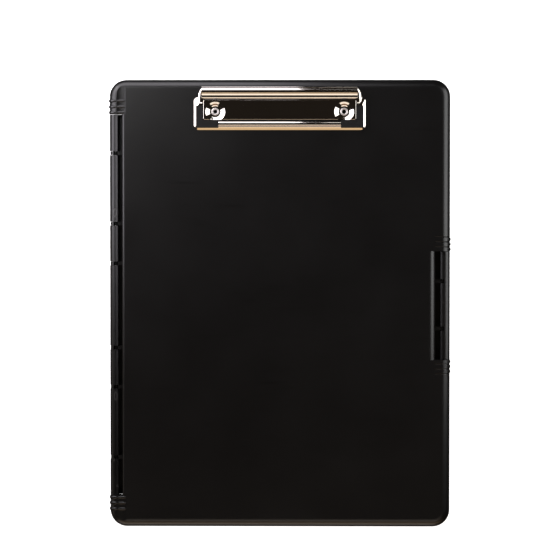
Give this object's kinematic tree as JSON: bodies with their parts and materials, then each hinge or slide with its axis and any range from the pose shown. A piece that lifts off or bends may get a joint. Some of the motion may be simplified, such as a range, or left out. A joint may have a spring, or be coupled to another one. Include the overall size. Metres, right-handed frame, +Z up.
{
  "type": "storage clipboard box",
  "caption": "Slim hinged storage case for letter paper whose lid is a writing board with a low sprung metal clip at its top.",
  "frame": {"origin": "centre of the underside, closed", "axes": "+Z up out of the board, +Y along the board towards the clip, +X towards the latch side"},
  "size_m": [0.2424, 0.3174, 0.0216],
  "materials": {
    "case_plastic": "black moulded polypropylene, fine matt grain",
    "clip_chrome": "bright nickel-chrome plated sheet steel",
    "rod_steel": "drawn steel wire",
    "grip_rubber": "black moulded rubber"
  },
  "bodies": {
    "base": {"base_tray": "case_plastic", "hinge_rod": "rod_steel"},
    "lid": {"lid_shell": "case_plastic", "clip_mounting_plate": "clip_chrome", "clip_hinge_pin": "rod_steel", "clip_spring_left": "rod_steel", "clip_spring_right": "rod_steel", "clip_rivet_left": "clip_chrome", "clip_rivet_right": "clip_chrome", "rivet_washer_left": "rod_steel", "rivet_washer_right": "rod_steel"},
    "lever": {"clip_lever": "clip_chrome", "corner_grip_left": "grip_rubber", "corner_grip_right": "grip_rubber"}
  },
  "joints": [
    {"name": "lid_hinge", "type": "hinge", "parent": "base", "child": "lid", "pos_m": [-0.1164, -0.0011, 0.00635], "axis": [0, -1, 0], "range_deg": [0, 180]},
    {"name": "clip_press", "type": "hinge", "parent": "lid", "child": "lever", "pos_m": [0, 0.147, 0.015], "axis": [-1, 0, 0], "range_deg": [0, 30], "stiffness_Nm_per_rad": 0.24, "springref_deg": -60.16, "deforming": ["clip_spring_left", "clip_spring_right"]}
  ]
}
